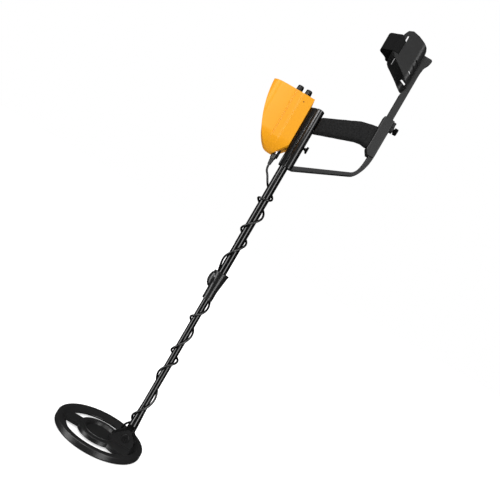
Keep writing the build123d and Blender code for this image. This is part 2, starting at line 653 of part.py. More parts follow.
# ---------------------------------------------------------------- control box
def box_side(inset, over):
    """The box's side outline: a bow-shaped front, a rounded tip and a sloping heel. Over is extra height."""
    tip_x, tip_z = BOX_TIP
    height = BOX_TOP - tip_z
    low_bow, high_bow = (tip_x - 20, tip_z + 8.5), (BOX_FRONT + 22, tip_z + height * 0.341)
    heel_foot, back_foot = (tip_x + 10.6, tip_z + 2.5), (BOX_BACK, tip_z + 28.5)
    rim_back, rim_front = (BOX_BACK, BOX_TOP + over), (BOX_FRONT, BOX_TOP + over)
    chin = TangentArc(BOX_TIP, low_bow, tangent=(-1, 0))
    belly = TangentArc(low_bow, high_bow, tangent=chin % 1)
    brow = TangentArc(high_bow, (BOX_FRONT, BOX_TOP), tangent=belly % 1)
    toe = TangentArc((tip_x + 2, tip_z), heel_foot, tangent=(1, 0))
    corners = [heel_foot, back_foot, rim_back, rim_front] + ([(BOX_FRONT, BOX_TOP)] if over > 0 else [])
    straight = [Line(start, end).edge() for start, end in zip(corners, corners[1:])]
    straight.append(Line(BOX_TIP, (tip_x + 2, tip_z)).edge())
    outline = make_face([chin.edge(), belly.edge(), brow.edge(), toe.edge()] + straight)
    return outline if inset == 0 else offset(outline, amount=-inset)


def box_front_view(inset):
    """The box's outline from the front, in the YZ plane: parallel sides and a round bottom."""
    half, low = BOX_HALF - inset, BOX_TIP[1] - 1 + inset
    face = Polygon((-half, low), (half, low), (half, BOX_TOP + 20), (-half, BOX_TOP + 20), align=None)
    return fillet(face.vertices().group_by(Axis.Y)[0], BOX_BOTTOM_CORNER - inset)


def box_form(inset, over=0.0):
    """The control box's outside, or the same shape further in and higher."""
    body = side_plate(box_side(inset, over), -BOX_HALF + inset, BOX_HALF - inset)
    slab = extrude(Plane.YZ.offset(-80) * box_front_view(inset), amount=160, dir=(1, 0, 0))
    half = BOX_HALF - inset
    plan = block((BOX_FRONT - 3 + inset, BOX_BACK - inset), (-half, half), (700, BOX_TOP + 20))
    upright = plan.edges().filter_by(Axis.Z).sort_by(Axis.X)
    plan = fillet(upright[:2], BOX_CORNER - inset)
    return body & slab & plan


def box_halves():
    """The front cover and the base behind it, which meet at the seam."""
    walls = box_form(0) - box_form(BOX_WALL, 10)
    cover = walls & block((-200, BOX_SEAM), (-200, 200), (600, 1000))
    base = walls & block((BOX_SEAM, 200), (-200, 200), (600, 1000))
    for side in (-1, 1):
        band_y = sorted((side * (BOX_HALF - 0.8), side * (BOX_HALF + 2)))
        base -= block((BOX_SEAM + 1.5, BAND_BACK), band_y, (700, 900))
    door_x, door_z = (DOOR_X[0] - 0.4, DOOR_X[1] + 0.4), (DOOR_Z[0] - 0.4, DOOR_Z[1] + 0.4)
    base -= block(door_x, (BOX_HALF - BOX_WALL - 1, BOX_HALF + 1), door_z)
    base -= rod_y(1.6, -BOX_HALF - 1, -BOX_HALF + BOX_WALL + 1, SIDE_SCREW[0], SIDE_SCREW[1])
    base -= disc(SOCKET_BODY, 730, 800, PLUG_X, PLUG_Y)
    base -= disc(JACK_BODY + SEAT, 730, 800, JACK_AT[0], JACK_AT[1])
    for row in (-1, 0, 1):
        for column in (-1, 0, 1):
            hole_x, hole_z = SPEAKER_AT[0] + 6 * column, SPEAKER_AT[1] + 6 * row
            cover -= rod_y(1.6, BOX_HALF - BOX_WALL - 1, BOX_HALF + 1, hole_x, hole_z)
            base -= rod_y(1.6, BOX_HALF - BOX_WALL - 1, BOX_HALF + 1, hole_x, hole_z)
    return cover, base


def panel_slab(bottom, top):
    """A slab as wide as the box's inside near its top."""
    inside = box_form(BOX_WALL + SEAT) & block((-200, 200), (-200, 200), (BOX_TOP - 9, BOX_TOP - 8))
    face = inside.faces().sort_by(Axis.Z)[0]
    return extrude(Pos(0, 0, bottom - face.center().Z) * face, amount=top - bottom, dir=(0, 0, 1))


def control_panel():
    """The flat top panel, with openings for meter, knob shafts and switch."""
    panel = panel_slab(PANEL_LOW, PANEL_TOP)
    panel -= block((METER_X[0] - 0.2, METER_X[1] + 0.2), (-METER_HALF - 0.2, METER_HALF + 0.2), (800, 900))
    for x, y in KNOBS:
        panel -= disc(3.3, 800, 900, x, y)
    x, y = LEVER_AT
    panel -= disc(3.1, 800, 900, x, y)
    return panel


def circuit_board():
    """The board that hangs under the panel."""
    low = PANEL_LOW - 26.0
    return block((-36.0, 20.0), (-32, 32), (low, low + 1.6))


def board_posts():
    """Four posts that hold the board under the panel."""
    low = PANEL_LOW - 26.0 + 1.6
    made = [disc(2.5, low, PANEL_LOW, x, y) for x in (-10.0, 12.0) for y in (-29.0, 29.0)]
    return Compound(children=[s.solid() for s in made])


def potentiometers():
    """The two turning controls behind the panel, with a thread through it."""
    made = []
    for x, y in KNOBS:
        body = disc(7.5, PANEL_LOW - 9.0, PANEL_LOW, x, y) + disc(3.2, PANEL_LOW, PANEL_TOP + 1.0, x, y)
        made.append(body - disc(2.5 + RUNNING, PANEL_LOW - 6.0, 900, x, y))
    return Compound(children=[s.solid() for s in made])


def control_knob(x, y):
    """A ribbed knob with its shaft."""
    foot = PANEL_TOP + 1.3
    top = PANEL_TOP + KNOB_HEIGHT
    knob = turned(
        [
            (0, foot),
            (KNOB_RADIUS, foot),
            (KNOB_RADIUS - 0.2, foot + 5),
            (KNOB_RADIUS - 1.0, top - 1.0),
            (KNOB_RADIUS - 1.8, top),
            (0, top),
        ]
    )
    for rib in range(20):
        angle = math.radians(18 * rib)
        radius = KNOB_RADIUS + 0.15
        knob -= disc(0.8, foot + 2.0, top + 1, radius * math.cos(angle), radius * math.sin(angle))
    knob -= block((-0.5, 0.5), (KNOB_RADIUS - 6, KNOB_RADIUS + 1), (top - 0.5, top + 1))
    return Pos(x, y, 0) * (knob + disc(2.5, PANEL_LOW - 5.5, foot))


def mode_switch():
    """The body and threaded neck of the lever switch."""
    x, y = LEVER_AT
    body = block((x - 6, x + 6), (y - 4, y + 4), (PANEL_LOW - 11, PANEL_LOW))
    body += disc(3.0, PANEL_LOW, PANEL_TOP + 4.0, x, y)
    slot = block((x - 6.0, x + 6.0), (y - 1.9, y + 1.9), (PANEL_TOP - 0.5, PANEL_TOP + 5))
    return body - slot - rod_y(2.0, y - 1.9, y + 1.9, x, PANEL_TOP + 0.6)


def mode_lever():
    """The bat-shaped lever of the mode switch, upright in its middle position."""
    x, y = LEVER_AT
    pivot = rod_y(1.6, y - 1.6, y + 1.6, x, PANEL_TOP + 0.6)
    bat = Pos(x, y, PANEL_TOP + 0.6) * Cone(1.1, 2.0, 12.0, align=STAND)
    return fillet((pivot + bat).edges().group_by(Axis.Z)[-1], 0.9)


def meter_case():
    """The open-topped case of the needle meter, hung in the panel."""
    low = PANEL_TOP - 16.0
    outer = block(METER_X, (-METER_HALF, METER_HALF), (low, PANEL_TOP + 2.0))
    half = METER_HALF - 1.6
    inner = block((METER_X[0] + 1.6, METER_X[1] - 1.6), (-half, half), (low + 1.6, PANEL_TOP + 9))
    post = disc(1.6, low + 1.0, NEEDLE_Z - 0.9, METER_X[1] - 6.0, 0)
    ledge = block((METER_X[1] - 13.0, METER_X[1] - 1.0), (-half - 0.6, half + 0.6), (low + 1.0, NEEDLE_Z - 2.0))
    return outer - inner + ledge + post


def meter_scale():
    """The scale plate under the needle."""
    half = METER_HALF - 1.7
    return block((METER_X[0] + 1.7, METER_X[1] - 13.1), (-half, half), (PANEL_TOP - 14.4, PANEL_TOP - 6.0))


def meter_needle():
    """The meter's needle on its small hub, at mid scale."""
    x = METER_X[1] - 6.0
    hub = disc(2.4, NEEDLE_Z - 0.6, NEEDLE_Z + 0.6, x, 0)
    return hub + block((METER_X[0] + 5.0, x), (-0.35, 0.35), (NEEDLE_Z - 0.35, NEEDLE_Z + 0.35))


def meter_window():
    """The clear window over the meter."""
    half = METER_HALF - 1.7
    return block((METER_X[0] + 1.7, METER_X[1] - 1.7), (-half, half), (PANEL_TOP - 0.4, PANEL_TOP + 1.4))


def speaker():
    """A small cone speaker behind the grille holes in the far wall."""
    wall = BOX_HALF - BOX_WALL - 0.1
    x, z = SPEAKER_AT
    frame = rod_y(SPEAKER_RADIUS, wall - 2.0, wall, x, z)
    frame -= rod_y(SPEAKER_RADIUS - 2.5, wall - 3, wall + 1, x, z)
    basket = rod_y(SPEAKER_RADIUS - 1.0, wall - 8.0, wall - 2.0, x, z)
    hollow = Pos(x, wall - 6.5, z) * Rot(-90, 0, 0) * Cone(4.0, SPEAKER_RADIUS - 2.5, 4.6, align=STAND)
    return frame + basket - hollow + rod_y(8.0, wall - 12.0, wall - 8.0, x, z)


def batteries():
    """Two nine-volt blocks side by side."""
    x0, z0 = BOX_BACK - BOX_WALL - 17.7, 803.0
    made = []
    for y0 in (-12.0, 15.2):
        body = block((x0, x0 + 17.5), (y0, y0 + 26.5), (z0, z0 + 46.5))
        for offset_y in (6.8, 19.5):
            body += disc(3.0, z0 + 46.5, z0 + 48.5, x0 + 8.7, y0 + offset_y)
        made.append(body)
    return Compound(children=[s.solid() for s in made])


def battery_tray():
    """The shelf and cheeks that hold the batteries against the box's back wall."""
    x0, x1, z0 = BOX_BACK - BOX_WALL - 17.8, BOX_BACK - BOX_WALL - 0.05, 803.0
    shelf = block((x0 - 1.5, x1), (-14.0, 42.0), (z0 - 2.1, z0 - 0.1))
    cheek = block((x0 - 1.5, x1), (-14.0, -12.2), (z0 - 2.1, z0 + 40))
    lip = block((x0 - 1.5, x0 - 0.1), (-14.0, 42.0), (z0 - 2.1, z0 + 12))
    return shelf + cheek + lip


def battery_door():
    """The hinged door in the far wall."""
    door = block(DOOR_X, (BOX_HALF - BOX_WALL, BOX_HALF), DOOR_Z)
    mid = (DOOR_Z[0] + DOOR_Z[1]) / 2
    for row in (-4.0, 0.0, 4.0):
        rib_z = (mid + row - 0.8, mid + row + 0.8)
        door -= block((DOOR_X[0] + 3, DOOR_X[0] + 9), (BOX_HALF - 0.7, BOX_HALF + 1), rib_z)
    return door


def coil_socket():
    """The socket in the box's heel that the coil plug screws onto."""
    barrel = disc(SOCKET_BODY - SEAT, SOCKET_FACE + 11, SOCKET_FACE + 42, PLUG_X, PLUG_Y)
    return barrel + disc(5.6, SOCKET_FACE, SOCKET_FACE + 11, PLUG_X, PLUG_Y)


def headphone_socket():
    """The round headphone socket beside the plug. Its bore opens downwards."""
    x, y = JACK_AT
    body = disc(JACK_BODY, JACK_FACE, JACK_FACE + 50, x, y)
    body = fillet(body.edges().group_by(Axis.Z)[0], 0.8)
    flange = disc(JACK_BODY + 2.0, JACK_FACE + 48, JACK_FACE + 54, x, y)
    return body + flange - disc(JACK_BORE, JACK_FACE - 5, JACK_FACE + 15, x, y)


def box_screws():
    """The screw in the box's near side."""
    x, z = SIDE_SCREW
    head = rod_y(1.5, -BOX_HALF + 0.6, -BOX_HALF + 9.0, x, z)
    return head - block((x - 1.2, x + 1.2), (-BOX_HALF - 1, -BOX_HALF + 1.0), (z - 0.3, z + 0.3))


# ---------------------------------------------------------------- plug and cable
def plug_body():
    """The round plug pushed onto the coil socket."""
    plug = disc(PLUG_RADIUS, BOOT_TOP, SOCKET_FACE + 4.0, PLUG_X, PLUG_Y)
    plug = fillet(plug.edges().group_by(Axis.Z)[-1], 0.8)
    return plug - disc(5.6 + SEAT, SOCKET_FACE - 0.05, SOCKET_FACE + 10, PLUG_X, PLUG_Y)


def plug_boot():
    """The tapered rubber boot under the plug."""
    wide = Plane((PLUG_X, PLUG_Y, BOOT_TOP), z_dir=(0, 0, -1)) * Circle(5.6)
    narrow = Plane((PLUG_X, PLUG_Y, BOOT_FOOT), z_dir=(0, 0, -1)) * Circle(3.6)
    return loft([wide, narrow])


# The lead from the gland to the wraps: points in millimetres.
LEAD_POINTS = [
    (GLAND_AT[0], GLAND_AT[1], HUB_TOP + 3.0),
    (GLAND_AT[0], GLAND_AT[1], PIVOT_Z + 4.0),
    (GLAND_AT[0] + 5.0, GLAND_AT[1] - 4.0, PIVOT_Z + 18.0),
]
# Each winding point: turn in degrees about the stem (180 is the coil side, 270 the near side), height, and the
# cable's distance from the stem's axis at that point.
WINDING_TURNS = [
    (110, 62.0, 14.6),
    (160, 74.0, 14.2),
    (205, 86.0, 13.8),
    (250, 98.0, 12.6),
    (295, 110.0, 12.2),
    (340, 124.0, 12.8),
    (20, 140.0, 13.2),
    (65, 154.0, 12.4),
    (110, 168.0, 12.2),
    (155, 183.0, 12.4),
    (200, 198.0, 12.6),
    (245, 211.0, 12.0),
    (290, 221.0, 12.2),
    (335, 229.0, 14.0),
    (20, 235.0, 14.4),
    (70, 239.0, 12.6),
    (120, 243.0, 12.4),
    (165, 248.0, 12.8),
    (210, 256.0, 12.4),
    (255, 267.0, 12.0),
    (300, 280.0, 12.2),
    (345, 295.0, 13.0),
    (30, 308.0, 12.6),
    (80, 318.0, 12.2),
    (130, 327.0, 12.2),
    (180, 335.0, 12.8),
    (225, 341.0, 12.2),
    (270, 347.0, 12.0),
    (315, 356.0, 12.4),
    (0, 367.0, 13.0),
    (40, 377.0, 15.0),
]
UPPER_TURNS = [
    (75, 389.0, 21.5),
    (90, 407.0, 23.0),
    (100, 428.0, 23.5),
    (112, 447.0, 23.0),
    (130, 463.0, 18.5),
    (160, 477.0, 15.2),
    (200, 490.0, 15.0),
    (240, 503.0, 14.2),
    (280, 514.0, 14.2),
    (320, 525.0, 14.6),
    (0, 536.0, 14.8),
    (45, 544.0, 14.4),
    (90, 551.0, 14.2),
    (135, 557.0, 14.4),
    (180, 563.0, 14.8),
    (225, 571.0, 14.2),
    (270, 581.0, 14.0),
    (310, 591.0, 15.0),
    (350, 603.0, 17.0),
    (30, 616.0, 16.6),
    (75, 626.0, 14.6),
    (120, 633.0, 14.4),
    (165, 639.0, 15.6),
    (205, 641.5, 16.4),
    (245, 642.5, 14.4),
    (285, 643.5, 14.2),
    (325, 646.5, 14.6),
    (5, 652.0, 15.0),
    (50, 660.0, 14.4),
    (95, 668.0, 14.4),
    (135, 675.0, 15.2),
    (162, 684.0, 17.6),
]
TAIL_POINTS = [
    (34.0, 1.0, BOOT_FOOT - 20.5),
    (PLUG_X, PLUG_Y, BOOT_FOOT - 11.0),
    (PLUG_X, PLUG_Y, BOOT_FOOT),
]


def around_stem(turns):
    """Points given by angle, height and distance from the stem's axis."""
    return [
        (STEM_X + r * math.cos(math.radians(a)), r * math.sin(math.radians(a)), z)
        for a, z, r in turns
    ]


def between(one, other):
    """The point half-way between two points, where one length of cable ends and the next begins."""
    return tuple((p + q) / 2 for p, q in zip(one, other))


def cable(name, points):
    """A round cable along straight runs joined by tangent arcs. It prints its radii and its length."""
    corners = [Vector(*p) for p in points]
    radii = []
    for before, here, after in zip(corners, corners[1:], corners[2:]):
        run_in, run_out = here - before, after - here
        turn = math.radians(run_in.get_angle(run_out))
        radii.append(0.45 * min(run_in.length, run_out.length) / math.tan(turn / 2))
    path = FilletPolyline(*corners, radius=radii)
    swept = sweep(Plane(path @ 0, z_dir=path % 0) * Circle(CABLE_RADIUS), path=path)
    expected = math.pi * CABLE_RADIUS**2 * path.length
    print(f"{name}: {path.length:.1f} long, volume {swept.volume / expected:.4f} of section times length")
    print(f"{name} radii: {', '.join(f'{r:.0f}' for r in radii)}")
    return swept


# ---------------------------------------------------------------- all pieces
def all_pieces():
    shell, bottom = coil_shells()
    box_cover, box_base = box_halves()
    winding = around_stem(WINDING_TURNS)
    upper = around_stem(UPPER_TURNS)
    low_join = between(LEAD_POINTS[-1], winding[0])
    high_join = between(winding[-1], upper[0])
    return {
        "coil_top_shell": shell,
        "coil_bottom_cover": bottom,
        "coil_screws": coil_screws(),
        "transmit_winding": transmit_winding(),
        "receive_winding": receive_winding(),
        "coil_gland": coil_gland(),
        "pivot_bolt": pivot_bolt(),
        "pivot_nut": pivot_nut(),
        "pivot_washers": pivot_washers(),
        "stem_tip": stem_tip(),
        "lower_tube": lower_tube(),
        "stem_bush": stem_bush(),
        "upper_tube": upper_tube(),
        "lock_collar": lock_collar(),
        "clamp_collet": clamp_collet(),
        "stem_holder": stem_holder(),
        "holder_clamp_nut": hex_nut(HOLDER_X[1] - 5.1, 3.0, CLAMP_Z),
        "holder_clamp_knob": clamp_knob(STEM_X + UPPER_TUBE_RADIUS + 0.3, 77.8, 84.8, CLAMP_Z),
        "handle_loop": handle_loop(),
        "grip_core": grip_core(),
        "grip_foam": grip_foam(),
        "arm_clamp_nut": hex_nut(SOCKET_X[1] + 1.5, 3.0, ARM_CLAMP_Z),
        "arm_clamp_knob": clamp_knob(ARM_BAR_X[1] + 0.3, 226.6, 236.8, ARM_CLAMP_Z),
        "armrest_bar": armrest_bar(),
        "armrest_cuff": armrest_cuff(),
        "cuff_screws": cuff_screws(),
        "arm_strap": arm_strap(),
        "box_cover": box_cover,
        "box_base": box_base,
        "box_side_screw": box_screws(),
        "control_panel": control_panel(),
        "circuit_board": circuit_board(),
        "board_posts": board_posts(),
        "potentiometers": potentiometers(),
        "sensitivity_knob": control_knob(*KNOBS[0]),
        "volume_knob": control_knob(*KNOBS[1]),
        "mode_switch": mode_switch(),
        "mode_lever": mode_lever(),
        "meter_case": meter_case(),
        "meter_scale": meter_scale(),
        "meter_needle": meter_needle(),
        "meter_window": meter_window(),
        "speaker": speaker(),
        "batteries": batteries(),
        "battery_tray": battery_tray(),
        "battery_door": battery_door(),
        "coil_socket": coil_socket(),
        "headphone_socket": headphone_socket(),
        "plug_body": plug_body(),
        "plug_boot": plug_boot(),
        "cable_lead": cable("cable_lead", LEAD_POINTS + [low_join]),
        "cable_winding": cable("cable_winding", [low_join] + winding + [high_join]),
        "cable_upper": cable("cable_upper", [high_join] + upper + TAIL_POINTS),
    }


os.makedirs("parts", exist_ok=True)
for node, shape in all_pieces().items():
    export_step(shape, f"parts/{node}.step")
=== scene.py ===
import json
import math

import bmesh
import bpy
from mathutils import Matrix, Vector


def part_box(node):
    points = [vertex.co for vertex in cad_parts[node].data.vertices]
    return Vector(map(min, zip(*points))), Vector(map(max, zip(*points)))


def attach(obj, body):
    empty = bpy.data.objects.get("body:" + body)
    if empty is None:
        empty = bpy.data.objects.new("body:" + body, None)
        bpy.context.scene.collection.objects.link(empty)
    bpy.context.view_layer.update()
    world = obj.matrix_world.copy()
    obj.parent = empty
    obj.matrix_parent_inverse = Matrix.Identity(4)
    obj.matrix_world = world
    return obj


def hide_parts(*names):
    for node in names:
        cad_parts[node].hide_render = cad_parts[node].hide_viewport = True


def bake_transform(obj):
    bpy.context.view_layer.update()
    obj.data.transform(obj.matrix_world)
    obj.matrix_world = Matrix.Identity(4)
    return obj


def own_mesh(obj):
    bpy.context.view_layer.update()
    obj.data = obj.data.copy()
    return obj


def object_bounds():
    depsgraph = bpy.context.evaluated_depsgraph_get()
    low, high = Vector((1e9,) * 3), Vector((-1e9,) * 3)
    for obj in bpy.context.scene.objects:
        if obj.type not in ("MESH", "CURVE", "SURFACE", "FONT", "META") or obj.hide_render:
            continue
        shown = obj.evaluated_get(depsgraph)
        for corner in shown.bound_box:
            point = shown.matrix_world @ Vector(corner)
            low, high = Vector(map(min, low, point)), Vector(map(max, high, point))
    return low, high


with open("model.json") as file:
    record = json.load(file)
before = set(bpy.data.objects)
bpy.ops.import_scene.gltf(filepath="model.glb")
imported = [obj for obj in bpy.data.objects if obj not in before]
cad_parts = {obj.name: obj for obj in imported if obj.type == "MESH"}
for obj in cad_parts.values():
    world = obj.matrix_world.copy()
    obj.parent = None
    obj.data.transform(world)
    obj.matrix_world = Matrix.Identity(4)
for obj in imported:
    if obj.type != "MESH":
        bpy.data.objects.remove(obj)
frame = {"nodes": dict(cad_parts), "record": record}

# A hand-held metal detector that stands on its search coil. Metres, in the CAD model's frame.
CAD_LOW, CAD_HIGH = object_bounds()
NODES = frame["nodes"]
RECORD = frame["record"]
SLOT_OF = {part["node"]: part["material_slot"] for part in RECORD["subparts"]}
BODY_OF = {node: body for body, nodes in RECORD["behaviour"]["bodies"].items() for node in nodes}
MM = 0.001


# ---------------------------------------------------------------- camera
CAMERA_AT, CAMERA_LENS = (0.085, -1.250, 0.530), 40.3
# its right, up and back directions, as columns: it looks along +Y, turned about its own line of sight
CAMERA_TURN = ((0.8638, -0.5038, 0.0), (0.0, 0.0, -1.0), (0.5038, 0.8638, 0.0))


def set_camera():
    """A camera level with the stem's middle."""
    lens = bpy.data.cameras.new("camera")
    lens.lens = CAMERA_LENS
    lens.sensor_width = 36.0
    camera = bpy.data.objects.new("camera", lens)
    bpy.context.scene.collection.objects.link(camera)
    camera.matrix_world = Matrix.Translation(CAMERA_AT) @ Matrix(CAMERA_TURN).to_4x4()
    bpy.context.scene.camera = camera


set_camera()

# ---------------------------------------------------------------- coil cable
# the route's points, in millimetres
STEM_X = 57.0
CABLE_RADIUS = 2.5
LEAD_POINTS = [(36.0, 27.0, 17.0), (36.0, 27.0, 36.0), (41.0, 23.0, 50.0)]
# turn in degrees about the stem, height, distance from the stem's axis
WINDING_TURNS = [
    (110, 62.0, 14.6),
    (160, 74.0, 14.2),
    (205, 86.0, 13.8),
    (250, 98.0, 12.6),
    (295, 110.0, 12.2),
    (340, 124.0, 12.8),
    (20, 140.0, 13.2),
    (65, 154.0, 12.4),
    (110, 168.0, 12.2),
    (155, 183.0, 12.4),
    (200, 198.0, 12.6),
    (245, 211.0, 12.0),
    (290, 221.0, 12.2),
    (335, 229.0, 14.0),
    (20, 235.0, 14.4),
    (70, 239.0, 12.6),
    (120, 243.0, 12.4),
    (165, 248.0, 12.8),
    (210, 256.0, 12.4),
    (255, 267.0, 12.0),
    (300, 280.0, 12.2),
    (345, 295.0, 13.0),
    (30, 308.0, 12.6),
    (80, 318.0, 12.2),
    (130, 327.0, 12.2),
    (180, 335.0, 12.8),
    (225, 341.0, 12.2),
    (270, 347.0, 12.0),
    (315, 356.0, 12.4),
    (0, 367.0, 13.0),
    (40, 377.0, 15.0),
]
UPPER_TURNS = [
    (75, 389.0, 21.5),
    (90, 407.0, 23.0),
    (100, 428.0, 23.5),
    (112, 447.0, 23.0),
    (130, 463.0, 18.5),
    (160, 477.0, 15.2),
    (200, 490.0, 15.0),
    (240, 503.0, 14.2),
    (280, 514.0, 14.2),
    (320, 525.0, 14.6),
    (0, 536.0, 14.8),
    (45, 544.0, 14.4),
    (90, 551.0, 14.2),
    (135, 557.0, 14.4),
    (180, 563.0, 14.8),
    (225, 571.0, 14.2),
    (270, 581.0, 14.0),
    (310, 591.0, 15.0),
    (350, 603.0, 17.0),
    (30, 616.0, 16.6),
    (75, 626.0, 14.6),
    (120, 633.0, 14.4),
    (165, 639.0, 15.6),
    (205, 641.5, 16.4),
    (245, 642.5, 14.4),
    (285, 643.5, 14.2),
    (325, 646.5, 14.6),
    (5, 652.0, 15.0),
    (50, 660.0, 14.4),
    (95, 668.0, 14.4),
    (135, 675.0, 15.2),
    (162, 684.0, 17.6),
]
TAIL_POINTS = [(34.0, 1.0, 695.0), (25.2, -5.0, 704.5), (25.2, -5.0, 715.5)]


def around_stem(turns):
    """Points given by angle, height and distance from the stem's axis."""
    return [
        (STEM_X + r * math.cos(math.radians(a)), r * math.sin(math.radians(a)), z)
        for a, z, r in turns
    ]


def between(one, other):
    """The point half-way between two points."""
    return tuple((p + q) / 2 for p, q in zip(one, other))


WINDING_POINTS = around_stem(WINDING_TURNS)
UPPER_POINTS = around_stem(UPPER_TURNS)
LOW_JOIN = between(LEAD_POINTS[-1], WINDING_POINTS[0])
HIGH_JOIN = between(WINDING_POINTS[-1], UPPER_POINTS[0])


def route(name, points, radius):
    """A smooth NURBS curve with those points, in millimetres, as its control points."""
    curve = bpy.data.curves.new(name, "CURVE")
    curve.dimensions = "3D"
    spline = curve.splines.new("NURBS")
    spline.points.add(len(points) - 1)
    for control, point in zip(spline.points, points):
        control.co = (point[0] * MM, point[1] * MM, point[2] * MM, 1.0)
    spline.order_u = 3
    spline.use_endpoint_u = True
    spline.resolution_u = 10
    curve.bevel_depth = radius * MM
    curve.bevel_resolution = 5
    curve.use_fill_caps = radius > 0
    piece = bpy.data.objects.new(name, curve)
    bpy.context.scene.collection.objects.link(piece)
    return piece


def route_line(points):
    """Points along the route's own line, in metres."""
    bare = route("bare_line", points, 0)
    bpy.context.view_layer.update()
    mesh = bpy.data.meshes.new_from_object(bare)
    line = [tuple(v.co) for v in mesh.vertices]
    bpy.data.objects.remove(bare)
    return line


def route_tube(name, points):
    """The cable along a route, as a mesh."""
    bent = route(name + "_line", points, CABLE_RADIUS)
    bpy.context.view_layer.update()
    mesh = bpy.data.meshes.new_from_object(bent)
    bpy.data.objects.remove(bent)
    piece = bpy.data.objects.new(name, mesh)
    bpy.context.scene.collection.objects.link(piece)
    mesh.shade_smooth()
    return piece


def add_cable():
    """The coil's lead, the stretch wound on the lower stem, and the upper stretch up to the plug."""
    lead_points = LEAD_POINTS + [LOW_JOIN]
    winding_points = [LOW_JOIN] + WINDING_POINTS + [HIGH_JOIN]
    upper_points = [HIGH_JOIN] + UPPER_POINTS + TAIL_POINTS
    lead = route_tube("coil_lead", lead_points)
    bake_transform(lead)
    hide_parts("cable_lead")
    winding = route_tube("stem_winding", winding_points)
    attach(winding, "lower_stem")
    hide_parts("cable_winding")
    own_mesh(winding)
    upper = route_tube("upper_cable", upper_points)
    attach(upper, "handle")
    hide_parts("cable_upper")
    route_line(lead_points)
    route_line(winding_points)
    route_line(upper_points)
    for piece in (lead, winding, upper):
        piece.data.materials.append(FINISH["cable_black"])


# ---------------------------------------------------------------- finishes
def new_group(name, inputs, outputs):
    """A shader node group with float or colour sockets."""
    group = bpy.data.node_groups.new(name, "ShaderNodeTree")
    for label, kind, value in inputs:
        socket = group.interface.new_socket(label, in_out="INPUT", socket_type=kind)
        socket.default_value = value
    for label, kind in outputs:
        group.interface.new_socket(label, in_out="OUTPUT", socket_type=kind)
    return group, group.nodes.new("NodeGroupInput"), group.nodes.new("NodeGroupOutput")


FLOAT, COLOUR = "NodeSocketFloat", "NodeSocketColor"


def math_node(group, operation, *values):
    """A Math node whose inputs are sockets or numbers."""
    node = group.nodes.new("ShaderNodeMath")
    node.operation = operation
    for socket, value in zip(node.inputs, values):
        if isinstance(value, (int, float)):
            socket.default_value = value
        else:
            group.links.new(value, socket)
    return node.outputs[0]


def noise_node(group, vector, scale, detail=2.0, roughness=0.5):
    """A Noise texture on a vector."""
    node = group.nodes.new("ShaderNodeTexNoise")
    node.inputs["Detail"].default_value = detail
    node.inputs["Roughness"].default_value = roughness
    if isinstance(scale, (int, float)):
        node.inputs["Scale"].default_value = scale
    else:
        group.links.new(scale, node.inputs["Scale"])
    group.links.new(vector, node.inputs["Vector"])
    return node.outputs["Fac"]


def mix_colours(group, share, one, other):
    """A colour mix of sockets or colours."""
    node = group.nodes.new("ShaderNodeMix")
    node.data_type = "RGBA"
    group.links.new(share, node.inputs["Factor"])
    for socket, value in ((node.inputs[6], one), (node.inputs[7], other)):
        if isinstance(value, tuple):
            socket.default_value = value
        else:
            group.links.new(value, socket)
    return node.outputs[2]


def moulded_group():
    """A moulded surface: a softly varying colour, a fine grain as height, and a roughness that varies."""
    group, inside, outside = new_group(
        "moulded_surface",
        [
            ("Colour", COLOUR, (0.05, 0.05, 0.05, 1)),
            ("Pale", COLOUR, (0.07, 0.07, 0.07, 1)),
            ("Grain scale", FLOAT, 900.0),
            ("Roughness", FLOAT, 0.4),
            ("Spread", FLOAT, 0.1),
        ],
        [("Colour", COLOUR), ("Roughness", FLOAT), ("Height", FLOAT)],
    )
    place = group.nodes.new("ShaderNodeTexCoord").outputs["Object"]
    cloud = noise_node(group, place, 18.0, 3.0, 0.55)
    grain = noise_node(group, place, inside.outputs["Grain scale"], 3.0, 0.6)
    rub = noise_node(group, place, 60.0, 5.0, 0.6)
    colour = mix_colours(group, cloud, inside.outputs["Colour"], inside.outputs["Pale"])
    group.links.new(colour, outside.inputs["Colour"])
    varied = math_node(group, "MULTIPLY", math_node(group, "SUBTRACT", rub, 0.5), inside.outputs["Spread"])
    group.links.new(math_node(group, "ADD", inside.outputs["Roughness"], varied), outside.inputs["Roughness"])
    group.links.new(grain, outside.inputs["Height"])
    return group


def foam_group():
    """Closed-cell foam: a mottle of pale and dark cells with small pits."""
    group, inside, outside = new_group(
        "foam_cells",
        [
            ("Colour", COLOUR, (0.02, 0.02, 0.02, 1)),
            ("Pale", COLOUR, (0.06, 0.06, 0.06, 1)),
            ("Cell scale", FLOAT, 500.0),
        ],
        [("Colour", COLOUR), ("Height", FLOAT)],
    )
    place = group.nodes.new("ShaderNodeTexCoord").outputs["Object"]
    cells = group.nodes.new("ShaderNodeTexVoronoi")
    group.links.new(place, cells.inputs["Vector"])
    group.links.new(inside.outputs["Cell scale"], cells.inputs["Scale"])
    mottle = noise_node(group, place, 260.0, 4.0, 0.7)
    sharp = math_node(group, "MULTIPLY_ADD", mottle, 2.4, -0.7)
    clear = group.nodes.new("ShaderNodeClamp")
    group.links.new(sharp, clear.inputs["Value"])
    colour = mix_colours(group, clear.outputs[0], inside.outputs["Colour"], inside.outputs["Pale"])
    group.links.new(colour, outside.inputs["Colour"])
    group.links.new(math_node(group, "ADD", cells.outputs["Distance"], mottle), outside.inputs["Height"])
    return group


